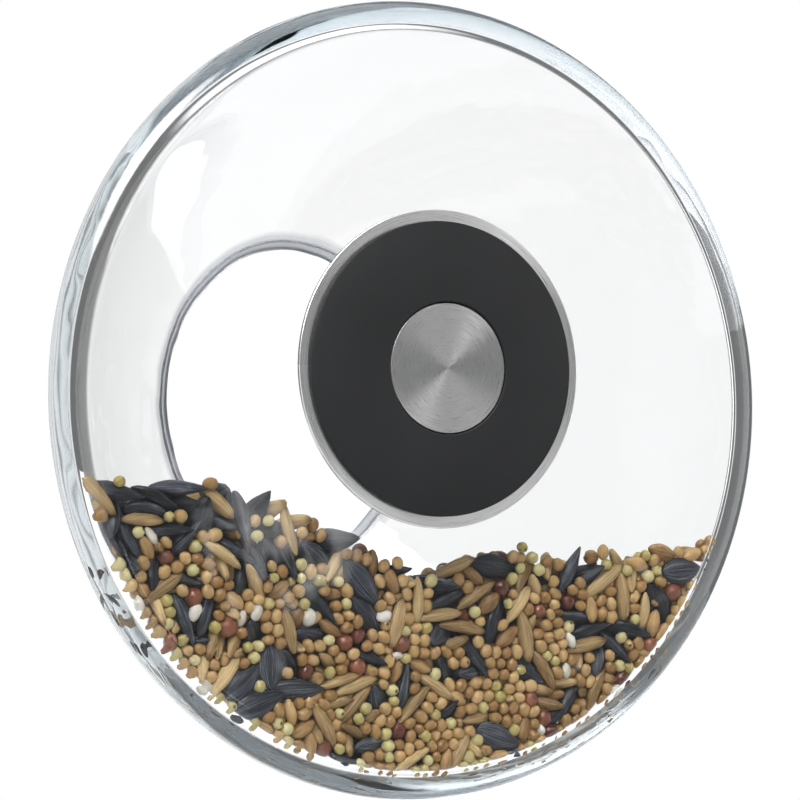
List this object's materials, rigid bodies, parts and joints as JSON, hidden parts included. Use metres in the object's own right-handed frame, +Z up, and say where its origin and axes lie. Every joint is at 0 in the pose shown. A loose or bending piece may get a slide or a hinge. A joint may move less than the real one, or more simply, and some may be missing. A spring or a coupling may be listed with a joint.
{
  "type": "window bird feeder",
  "caption": "Round clear glass bird feeder with a garden-side mouth, a seed filling, and a steel and rubber vacuum hub that holds it on a window pane.",
  "frame": {"origin": "centre of the pad's window face, on the hub's axis", "axes": "+Z up, +Y from the window pane into the garden, along the hub's axis, +X to the right as seen from the room"},
  "size_m": [0.2, 0.0884, 0.2],
  "materials": {
    "bowl_glass": "clear blown glass, fire-polished",
    "black_silicone": "smooth matt black silicone",
    "brushed_steel": "circular brushed stainless steel",
    "turned_steel": "turned stainless steel",
    "bright_steel": "bright stainless steel",
    "black_nylon": "moulded black glass-filled nylon",
    "clear_silicone": "translucent silicone",
    "black_rubber": "nitrile rubber",
    "white_acetal": "natural acetal",
    "brass": "machined brass",
    "bird_seed": "mixed wild bird seed: striped sunflower, oats, wheat, millet and dari"
  },
  "bodies": {
    "feeder": {"glass_bowl": "bowl_glass", "grip_pad": "black_silicone", "face_plate": "brushed_steel", "plate_screws": "bright_steel", "hub_barrel": "black_nylon", "outer_gasket": "clear_silicone", "hole_bush": "clear_silicone", "inner_gasket": "clear_silicone", "clamp_washer": "bright_steel", "ring_nut": "turned_steel", "rod_seal": "black_rubber", "guide_pin": "bright_steel", "thrust_washer": "white_acetal", "seed_fill": "bird_seed"},
    "piston": {"vacuum_piston": "brushed_steel", "piston_seal": "black_rubber", "piston_rod": "bright_steel", "rod_lock_nut": "bright_steel", "rod_clip": "bright_steel"},
    "knob": {"draw_knob": "black_nylon", "knob_insert": "brass", "knob_cap": "brushed_steel"}
  },
  "joints": [
    {"name": "knob_turn", "type": "hinge", "parent": "feeder", "child": "knob", "pos_m": [0, 0.0328, 0], "axis": [0, -1, 0], "range_deg": [0, 864]},
    {"name": "piston_draw", "type": "slide", "parent": "feeder", "child": "piston", "axis": [0, 1, 0], "range_m": [0, 0.003]}
  ],
  "couplings": [
    {"joint": "knob_turn", "follows": "piston_draw", "rad_per_m": 5026.5}
  ]
}
